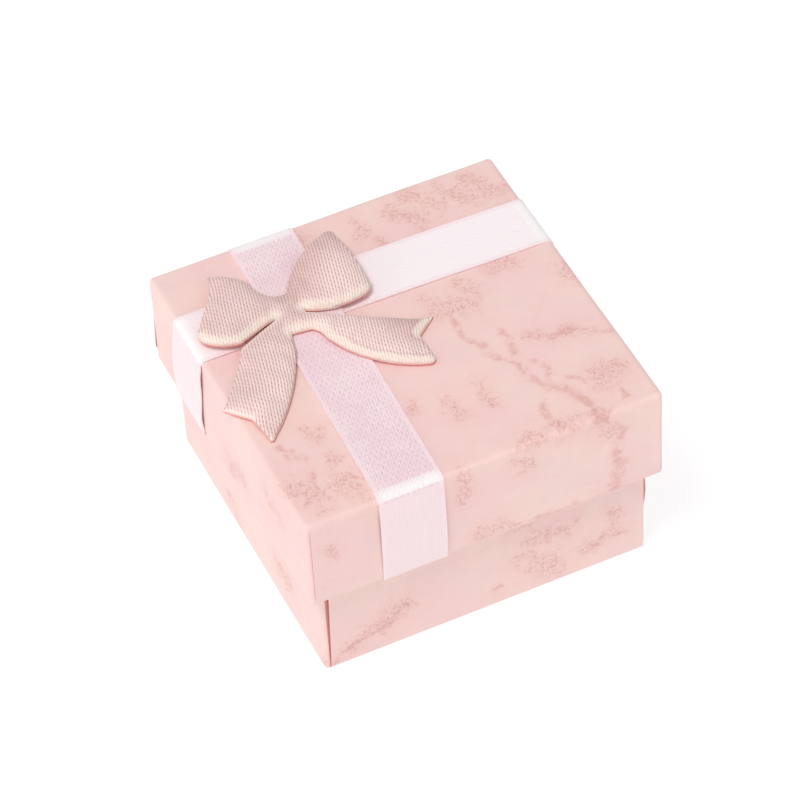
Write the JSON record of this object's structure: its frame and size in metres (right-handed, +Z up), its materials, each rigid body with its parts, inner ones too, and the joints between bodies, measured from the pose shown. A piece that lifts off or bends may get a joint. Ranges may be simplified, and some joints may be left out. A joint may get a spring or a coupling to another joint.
{
  "type": "jewelry gift box",
  "caption": "Small square rigid paper box with a lift-off lid, crossed satin ribbons, a padded bow and a slotted ring pad inside.",
  "frame": {"origin": "middle of the base's underside, on the surface that the box stands on", "axes": "+Z up, +X to the right along the front edge, +Y to the back; the bow's loops point to the back and its tails to the front"},
  "size_m": [0.0553, 0.0534, 0.0348],
  "materials": {
    "printed_paper": "satin",
    "greyboard": "matte",
    "stay_tape": "matte",
    "ribbon": "satin",
    "bow_fabric": "matte",
    "bow_padding": "matte",
    "bow_backing": "matte",
    "foam": "matte",
    "velvet": "matte",
    "glue": "satin"
  },
  "bodies": {
    "base": {"base_board": "greyboard", "base_corner_tapes": "stay_tape", "base_wrap": "printed_paper"},
    "insert": {"insert_foam": "foam", "insert_velvet": "velvet"},
    "lid": {"lid_board": "greyboard", "lid_corner_tapes": "stay_tape", "lid_wrap": "printed_paper", "ribbon_long": "ribbon", "ribbon_cross": "ribbon", "ribbon_glue_films": "glue", "bow_backing": "bow_backing", "bow_padding": "bow_padding", "bow_fabric": "bow_fabric", "bow_glue": "glue"}
  },
  "joints": [
    {"name": "insert_lift", "type": "slide", "parent": "base", "child": "insert", "axis": [0, 0, 1], "range_m": [0, 0.032]},
    {"name": "lid_lift", "type": "slide", "parent": "insert", "child": "lid", "axis": [0, 0, 1], "range_m": [0, 0.04]}
  ]
}
